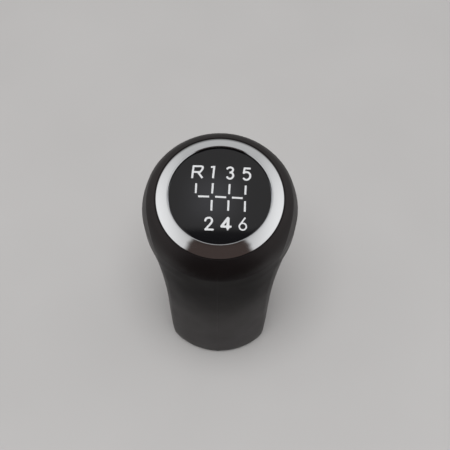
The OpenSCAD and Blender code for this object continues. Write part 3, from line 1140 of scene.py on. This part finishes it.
@dataclass(frozen=True)
class Stroke:
    """One stroke of the print: a path about the plate's centre, to the right and up, and its width."""

    path: Sequence[Flat]
    width: float = 0.62
    curved: bool = False
    round_ends: bool = False

    @property
    def closed(self) -> bool:
        """Whether a curved path ends where it starts."""
        return self.curved and (Vector(self.path[0]) - Vector(self.path[-1])).length < TOUCH

    def points(self, per_span: int = 8, step: float = 0.8) -> list[Vector]:
        """Returns the path's points, evened out along straight runs and rounded along curved ones.

        Args:
            per_span: Points for each span of a curved path.
            step: Spacing of the points on a straight one, in millimetres.

        Returns:
            The points, in order.
        """
        knots = [Vector(p) for p in self.path]
        if not self.curved:
            out = [knots[0]]
            for a, b in zip(knots, knots[1:]):
                count = max(1, round((b - a).length / step))
                out += [a.lerp(b, i / count) for i in range(1, count + 1)]
            return out
        before = knots[-2] if self.closed else knots[0] * 2 - knots[1]
        after = knots[1] if self.closed else knots[-1] * 2 - knots[-2]
        line = [before, *knots, after]
        out = []
        for p, a, b, q in zip(line, line[1:], line[2:], line[3:]):
            for i in range(per_span):
                s = i / per_span
                out.append(0.5 * (2 * a + (b - p) * s + (2 * p - 5 * a + 4 * b - q) * s ** 2
                                  + (3 * a - p - 3 * b + q) * s ** 3))
        return out + [knots[-1]]


@dataclass
class ShiftPattern:
    """The white print: the gate's lines and the numbers of the gears."""

    plate: ShiftPlate
    thickness: float = 0.022
    sink: float = 0.01
    dash_width: float = 0.6
    disc_sides: int = 20
    merge: float = 1e-5

    def gate(self) -> list[Stroke]:
        """Lists the broken lines of the gate.

        Returns:
            One stroke for each dash.
        """
        upright = [((-7.55, 3.75), (-7.6, 0.42)), ((-2.3, 3.9), (-2.42, 0.4)), ((3.0, 3.7), (2.9, 0.33)),
                   ((8.1, 3.42), (7.98, 0.32)), ((-2.48, -1.8), (-2.5, -5.3)), ((2.77, -1.78), (2.75, -5.24)),
                   ((7.96, -1.85), (7.95, -5.38))]
        level = [((-6.8, -0.64), (-3.35, -0.68)), ((-1.46, -0.66), (2.02, -0.78)),
                 ((3.82, -0.8), (7.2, -0.9))]
        return [Stroke(line, self.dash_width) for line in upright + level]

    def glyphs(self) -> list[Stroke]:
        """Lists the strokes of R and of the numbers 1 to 6.

        Returns:
            The strokes.
        """
        reverse = [
            Stroke(((-8.95, 5.5), (-8.62, 9.66))),
            Stroke(((-8.62, 9.66), (-6.1, 9.66)), round_ends=True),
            Stroke(((-6.1, 9.66), (-5.72, 9.5), (-5.68, 9.0), (-5.95, 8.35), (-6.45, 7.72)), curved=True,
                   round_ends=True),
            Stroke(((-6.45, 7.66), (-8.78, 7.66)), round_ends=True),
            Stroke(((-7.15, 7.6), (-5.7, 5.6))),
        ]
        one = [Stroke(((-3.1, 9.42), (-2.05, 9.55))), Stroke(((-2.02, 9.86), (-2.34, 5.6)))]
        three = [
            Stroke(((2.05, 8.75), (2.25, 9.2), (2.8, 9.47), (3.45, 9.42), (3.92, 8.95), (3.85, 8.3),
                    (3.4, 7.85), (2.85, 7.72)), curved=True),
            Stroke(((2.85, 7.72), (3.5, 7.62), (3.98, 7.15), (4.02, 6.45), (3.6, 5.8), (2.95, 5.58),
                    (2.35, 5.8), (2.05, 6.35)), curved=True),
        ]
        five = [
            Stroke(((9.55, 9.32), (7.62, 9.34))),
            Stroke(((7.62, 9.34), (7.36, 7.72)), round_ends=True),
            Stroke(((7.36, 7.72), (7.95, 8.03), (8.6, 8.0), (9.2, 7.6), (9.46, 6.9), (9.28, 6.1), (8.7, 5.5),
                    (7.95, 5.42), (7.2, 5.95)), curved=True),
        ]
        two = [
            Stroke(((-4.28, -8.62), (-4.02, -7.98), (-3.3, -7.68), (-2.55, -7.86), (-2.16, -8.5),
                    (-2.35, -9.25), (-2.95, -10.05), (-4.15, -11.45)), curved=True, round_ends=True),
            Stroke(((-4.2, -11.5), (-1.85, -11.5)), round_ends=True),
        ]
        four = [
            Stroke(((2.75, -7.65), (0.85, -10.35)), 0.8, round_ends=True),
            Stroke(((0.85, -10.42), (3.6, -10.42)), 0.72, round_ends=True),
            Stroke(((2.82, -7.5), (2.78, -11.2)), 0.92),
            Stroke(((2.78, -11.0), (2.74, -11.62)), 0.42),
        ]
        loop_x, loop_y, loop_r = 7.44, -10.25, 1.08
        turn = [math.tau * i / 12 for i in range(13)]
        loop = [(loop_x + loop_r * math.cos(a), loop_y + loop_r * math.sin(a)) for a in turn]
        six = [
            Stroke(loop, 0.48, curved=True),
            Stroke(((6.55, -9.65), (8.15, -7.32)), 0.48),
        ]
        return reverse + one + three + five + two + four + six

    def ribbon(self, bm: bmesh.types.BMesh, stroke: Stroke) -> None:
        """Lays one stroke as a thin slab by bridging its cross edges.

        Args:
            bm: The mesh to add it to.
            stroke: The stroke.
        """
        points = stroke.points()
        half = stroke.width / 2
        last = len(points) - 1
        row: list[bmesh.types.BMVert] = []
        made: list[bmesh.types.BMFace] = []
        for i, point in enumerate(points):
            before = points[-2] if stroke.closed and i == 0 else points[max(i - 1, 0)]
            after = points[1] if stroke.closed and i == last else points[min(i + 1, last)]
            along = (after - before).normalized()
            side = Vector((-along.y, along.x)) * half
            ends = [bm.verts.new((*(point + side), 0)), bm.verts.new((*(point - side), 0))]
            bm.edges.new(ends)
            if row:
                edges = [bm.edges.get(row), bm.edges.get(ends)]
                made += bmesh.ops.bridge_loops(bm, edges=edges)["faces"]
            row = ends
        self.thicken(bm, made)

    def disc(self, bm: bmesh.types.BMesh, centre: Vector, radius: float) -> None:
        """Adds a round end as a thin disc.

        Args:
            bm: The mesh to add it to.
            centre: Its centre.
            radius: Its radius.
        """
        place = Matrix.Translation((*centre, 0))
        made = bmesh.ops.create_circle(bm, cap_ends=True, radius=radius, segments=self.disc_sides,
                                       matrix=place)["verts"]
        self.thicken(bm, list(made[0].link_faces))

    def thicken(self, bm: bmesh.types.BMesh, faces: list[bmesh.types.BMFace]) -> None:
        """Closes a flat patch into a slab one unit thick.

        Args:
            bm: The mesh that holds it.
            faces: The patch.
        """
        verts = list(dict.fromkeys(v for f in faces for v in f.verts))
        bmesh.ops.remove_doubles(bm, verts=verts, dist=self.merge)
        faces = [f for f in faces if f.is_valid]
        grown = bmesh.ops.extrude_face_region(bm, geom=faces, use_keep_orig=True)["geom"]
        top = [v for v in grown if isinstance(v, bmesh.types.BMVert)]
        bmesh.ops.translate(bm, verts=top, vec=(0, 0, 1))

    def slabs(self, name: str, strokes: Sequence[Stroke]) -> bpy.types.Object:
        """Makes strokes into closed slabs one unit thick, still in the plate's own plane.

        Args:
            name: The object's name.
            strokes: The strokes.

        Returns:
            The slabs.
        """
        bm = bmesh.new()
        for stroke in strokes:
            self.ribbon(bm, stroke)
            if stroke.round_ends:
                for point in (stroke.points()[0], stroke.points()[-1]):
                    self.disc(bm, point, stroke.width / 2)
        return MeshWork.piece(bm, name, Matrix.Identity(4))

    def build(self) -> bpy.types.Object:
        """Makes the print: its strokes are joined to one skin and laid on the plate's dome.

        Returns:
            The print.
        """
        glyphs = self.slabs("gear_numbers", self.glyphs())
        gate = self.slabs("gate_lines", self.gate())
        join = glyphs.modifiers.new("join", "BOOLEAN")
        join.operation = "UNION"
        join.solver = "EXACT"
        join.use_self = True
        join.object = gate
        whole = bpy.data.meshes.new_from_object(glyphs.evaluated_get(bpy.context.evaluated_depsgraph_get()))
        bm = bmesh.new()
        bm.from_mesh(whole)
        for leftover in (glyphs, gate):
            bpy.data.objects.remove(leftover)
        bmesh.ops.remove_doubles(bm, verts=bm.verts[:], dist=MERGE)
        for vert in bm.verts:
            proud = self.thickness if vert.co.z > 0.5 else -self.sink
            vert.co.z = self.plate.face_height(math.hypot(vert.co.x, vert.co.y)) + proud
        return MeshWork.piece(bm, "shift_pattern", HEAD.matrix)


@dataclass(frozen=True)
class Screen:
    """A soft-edged sheet that only reflections see: it paints a dark or light reflection, as painted shade or
    a painted glow.

    Its own axes run from -1 to 1, along its rows and across them. It fades out on each of them from an inner
    to an outer distance from the middle.
    """

    name: str
    inner: Flat
    outer: Flat = (1.0, 1.0)
    tones: Sequence[Colour] = ((0.012, 0.012, 0.012), (0.012, 0.012, 0.012))
    cover: float = 1.0

    def material(self) -> bpy.types.Material:
        """Makes the glow that fades out towards the screen's edges.

        Returns:
            The material.
        """
        material = bpy.data.materials.new(self.name)
        material.use_nodes = True
        nodes = NodeTree(material.node_tree)
        axes = nodes.add("ShaderNodeSeparateXYZ")
        nodes.join(nodes.place, "UV", axes, "Vector")
        cover = nodes.add("ShaderNodeMath", operation="MULTIPLY")
        for i, (axis, most) in enumerate((("X", 1.0), ("Y", self.cover))):
            fall = nodes.remap(nodes.size(axes, axis), 0, (self.inner[i], self.outer[i]), (most, 0.0),
                               "SMOOTHSTEP")
            nodes.join(fall, "Result", cover, i)
        glow = nodes.add("ShaderNodeEmission")
        nodes.join(nodes.ramp(axes, "Y", self.tones), "Color", glow, "Color")
        mix = nodes.add("ShaderNodeMixShader")
        nodes.join(cover, 0, mix, "Fac")
        nodes.join(nodes.add("ShaderNodeBsdfTransparent"), "BSDF", mix, 1)
        nodes.join(glow, "Emission", mix, 2)
        nodes.join(mix, "Shader", nodes.add("ShaderNodeOutputMaterial"), "Surface")
        return material

    def build(self, rows: Sequence[Sequence[Vector]]) -> bpy.types.Object:
        """Bends a grid to the screen's shape.

        Args:
            rows: Its points in metres, row by row.

        Returns:
            The screen, which neither the camera nor any shadow sees.
        """
        bm = bmesh.new()
        own_axes = bm.loops.layers.uv.new("own_axes")
        wide, high = len(rows[0]) - 1, len(rows) - 1
        grid = bmesh.ops.create_grid(bm, x_segments=wide, y_segments=high, size=1)["verts"]
        for face in bm.faces:
            for loop in face.loops:
                loop[own_axes].uv = loop.vert.co.xy
        for vert, point in zip(grid, (point for row in rows for point in row)):
            vert.co = point
        mesh = bpy.data.meshes.new(self.name)
        bm.to_mesh(mesh)
        bm.free()
        mesh.materials.append(self.material())
        obj = bpy.data.objects.new(self.name, mesh)
        bpy.context.scene.collection.objects.link(obj)
        # Only reflections see the screen, so its tones are painted reflections.
        obj.visible_camera = False
        obj.visible_diffuse = False
        obj.visible_shadow = False
        return obj


# Painted reflection: the front shade paints a dark reflection in front and overhead, and a warmer dark in its
# low rows.
FRONT_SHADE = Screen("front_shade", (0.74, 0.82), tones=((0.055, 0.04, 0.036), (0.012, 0.012, 0.012)))
# Painted shade: the under shade darkens the reflections on the head's underside and the upper neck.
UNDER_SHADE = Screen("under_shade", (0.2, 0.36), (0.6, 1.0), cover=0.9)
# Painted reflection: the back shade darkens what the knob mirrors low behind it and to its sides.
BACK_SHADE = Screen("back_shade", (0.75, 0.5), cover=0.5)
# Painted reflection: the ceiling glow is no lamp and only paints a lighter patch into the plate's reflection.
CEILING_GLOW = Screen("ceiling_glow", (0.05, 0.15), tones=((0.72, 0.72, 0.76), (0.72, 0.72, 0.76)))


@dataclass
class Studio:
    """The pale floor, the soft light, the dark shades and the camera.

    A row of the arch is its distance in front, its height and half its width. A row of the collar is its
    radius and its height. Turns are in degrees from the front.
    """

    floor_radii: Sequence[float] = (0.0, 0.2, 0.6, 2.0)
    floor_steps: int = 96
    world_tone: Colour = (1.0, 0.985, 0.975)
    world_back: float = 0.50
    world_side: float = 0.92
    world_top: float = 0.8
    side_range: Flat = (0.45, 1.0)
    top_range: Flat = (0.5, 0.97)
    arch: Sequence[tuple[float, float, float]] = (
        (0.042, 0.010, 0.060), (0.060, 0.012, 0.085), (0.085, 0.016, 0.115), (0.110, 0.025, 0.145),
        (0.135, 0.045, 0.155), (0.160, 0.08, 0.155), (0.20, 0.14, 0.18), (0.23, 0.20, 0.21),
        (0.24, 0.26, 0.20), (0.22, 0.32, 0.17), (0.17, 0.36, 0.13), (0.11, 0.38, 0.10), (0.06, 0.385, 0.08),
        (0.018, 0.385, 0.07), (0.008, 0.385, 0.07))
    arch_points: int = 9
    collar: Sequence[Flat] = ((0.0180, 0.025), (0.0270, 0.037), (0.0330, 0.041), (0.0400, 0.045))
    collar_turns: Flat = (-180.0, 180.0)
    collar_points: int = 65
    back_r: float = 0.25
    back_heights: Sequence[float] = (0.003, 0.035, 0.065, 0.1)
    back_turns: Flat = (60.0, 300.0)
    back_points: int = 33
    glow_place: tuple[float, float, float] = (-0.02, 0.055, 0.6)
    glow_half: Flat = (0.085, 0.08)
    lamp_place: tuple[float, float, float] = (-0.03, -0.22, 1.0)
    lamp_aim: tuple[float, float, float] = (0.0, 0.0, 0.05)
    lamp_size: float = 0.6
    lamp_power: float = 5.7
    lens: float = 72.0
    sensor: float = 36.0
    clip: float = 0.01
    distance: float = 297.217
    elevation: float = 56.257
    azimuth: float = 1.34
    roll: float = 0.4
    aim: float = 63.12
    slide: Flat = (5.35, -1.416)

    def floor(self) -> bpy.types.Object:
        """Makes the round floor.

        Returns:
            The floor, its face up.
        """
        bm = bmesh.new()
        MeshWork.wire(bm, [(r, 0) for r in self.floor_radii])
        MeshWork.turn(bm, self.floor_steps)
        obj = MeshWork.piece(bm, "studio_floor", Matrix.Identity(4))
        if obj.data.polygons[0].normal.z < 0:
            obj.data.flip_normals()
        obj.data.materials.append(FLOOR_BOARD.material())
        return obj

    @staticmethod
    def hoop(r: float, height: float, turns: Flat, points: int) -> list[Vector]:
        """Returns points on a level circle about the knob.

        Args:
            r: Its radius.
            height: Its height.
            turns: Its first and last angle from the front, in degrees.
            points: How many points it has.

        Returns:
            The points, evenly spaced.
        """
        angles = [math.radians(lerp(*turns, i / (points - 1))) for i in range(points)]
        return [Vector((r * math.sin(a), -r * math.cos(a), height)) for a in angles]

    def front_shade(self) -> bpy.types.Object:
        """Returns the dark arch in front and overhead, seen only in reflections, which paints the dark
        reflection in the bezel, the plate and the grip's front.
        """
        shares = [lerp(-1, 1, i / (self.arch_points - 1)) for i in range(self.arch_points)]
        return FRONT_SHADE.build([[Vector((half * share, -away, height)) for share in shares]
                                  for away, height, half in self.arch])

    def under_shade(self) -> bpy.types.Object:
        """Returns the dark collar round the neck, seen only in reflections, which paints shade on the head's
        underside and the upper neck by keeping the mirrored floor out of them.
        """
        return UNDER_SHADE.build([self.hoop(r, height, self.collar_turns, self.collar_points)
                                  for r, height in self.collar])

    def back_shade(self) -> bpy.types.Object:
        """Returns the faint dark band low round the knob, seen only in reflections, which paints a darker
        reflection of the room just beyond the floor.
        """
        return BACK_SHADE.build([self.hoop(self.back_r, height, self.back_turns, self.back_points)
                                 for height in self.back_heights])

    def ceiling_glow(self) -> bpy.types.Object:
        """Returns the soft glow overhead, seen only in reflections and no lamp, which paints a lighter patch
        into the plate's reflection.
        """
        middle = Vector(self.glow_place)
        wide, deep = self.glow_half
        return CEILING_GLOW.build([[middle + Vector((wide * i, deep * j, 0)) for i in (-1, 0, 1)]
                                   for j in (-1, 0, 1)])

    def lamp(self) -> None:
        """Adds one large soft lamp overhead that doesn't show in reflections."""
        data = bpy.data.lights.new("overhead_softbox", "AREA")
        data.shape = "DISK"
        data.size = self.lamp_size
        data.energy = self.lamp_power
        obj = bpy.data.objects.new("overhead_softbox", data)
        place = Vector(self.lamp_place)
        obj.location = place
        obj.rotation_euler = (Vector(self.lamp_aim) - place).to_track_quat("-Z", "Y").to_euler()
        obj.visible_glossy = False
        bpy.context.scene.collection.objects.link(obj)

    def camera(self) -> None:
        """Sets the camera at the photograph's angle and framing."""
        data = bpy.data.cameras.new("camera")
        data.lens = self.lens
        data.sensor_width = self.sensor
        data.clip_start = self.clip
        data.shift_x = self.slide[0] / PHOTO_SIDE
        data.shift_y = self.slide[1] / PHOTO_SIDE
        obj = bpy.data.objects.new("camera", data)
        up = math.radians(self.elevation)
        side = math.radians(self.azimuth)
        away = Vector((math.cos(up) * math.sin(side), -math.cos(up) * math.cos(side), math.sin(up)))
        target = Vector((0, 0, self.aim)) * MM
        obj.location = target + away * self.distance * MM
        look = away.to_track_quat("Z", "Y").to_matrix() @ Matrix.Rotation(math.radians(self.roll), 3, "Z")
        obj.rotation_euler = look.to_euler()
        bpy.context.scene.collection.objects.link(obj)
        bpy.context.scene.camera = obj

    def room(self) -> bpy.types.World:
        """Makes the soft room: lighter to both sides than behind, and a little darker overhead.

        Returns:
            The world.
        """
        world = bpy.data.worlds.new("soft_room")
        world.use_nodes = True
        nodes = NodeTree(world.node_tree)
        split = nodes.add("ShaderNodeSeparateXYZ")
        nodes.join(nodes.place, "Generated", split, "Vector")
        strength = nodes.add("ShaderNodeMath", operation="MULTIPLY")
        sides = nodes.remap(nodes.size(split, "X"), 0, self.side_range, (self.world_back, self.world_side))
        nodes.join(sides, "Result", strength, 0)
        nodes.join(nodes.remap(split, "Z", self.top_range, (1.0, self.world_top)), "Result", strength, 1)
        sky = nodes.add("ShaderNodeBackground")
        sky.inputs["Color"].default_value = (*self.world_tone, 1)
        nodes.join(strength, 0, sky, "Strength")
        nodes.join(sky, "Background", nodes.add("ShaderNodeOutputWorld"), "Surface")
        return world

    def build(self) -> None:
        """Sets up the room, the floor, the shades, the light and the camera."""
        scene = bpy.context.scene
        scene.world = self.room()
        scene.view_settings.view_transform = "Standard"
        self.floor()
        self.front_shade()
        self.under_shade()
        self.back_shade()
        self.ceiling_glow()
        self.lamp()
        self.camera()


@dataclass
class ShiftKnob:
    """The whole knob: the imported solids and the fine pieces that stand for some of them."""

    grip: Grip = field(default_factory=Grip)
    bezel: Bezel = field(default_factory=Bezel)
    plate: ShiftPlate = field(default_factory=ShiftPlate)

    def dress(self, piece: bpy.types.Object, finish: Finish, node: str | None = None) -> None:
        """Gives a piece its finish and its place on the body, and hides the node that it stands for.

        Args:
            piece: The piece.
            finish: Its finish.
            node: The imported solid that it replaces, if there is one.
        """
        piece.data.materials.append(finish.material())
        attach(piece, BODY)
        if node:
            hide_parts(node)
        LOG.info("%s: %d faces, finish %s", piece.name, len(piece.data.polygons), finish.name)

    def inner_pieces(self) -> None:
        """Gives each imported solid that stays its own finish."""
        for name, finish in INNER_FINISHES.items():
            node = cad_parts[name]
            if not node.material_slots:
                node.data.materials.append(None)
            for place in node.material_slots:
                place.material = finish.material()
            LOG.info("%s: finish %s", name, finish.name)

    def build(self) -> None:
        """Makes and dresses every piece."""
        self.dress(self.grip.build(), GRIP_SKIN, "grip_cover")
        self.dress(self.bezel.build(), BEZEL_CHROME, "bezel")
        self.dress(self.plate.build(), PLATE_GLOSS, "shift_plate")
        self.dress(ShiftPattern(self.plate).build(), PRINT_WHITE)
        self.inner_pieces()


def main() -> None:
    """Builds the knob and its studio."""
    logging.basicConfig(level=logging.INFO, format="%(name)s %(message)s")
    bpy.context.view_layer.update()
    ShiftKnob().build()
    Studio().build()


if __name__ == "__main__":
    main()
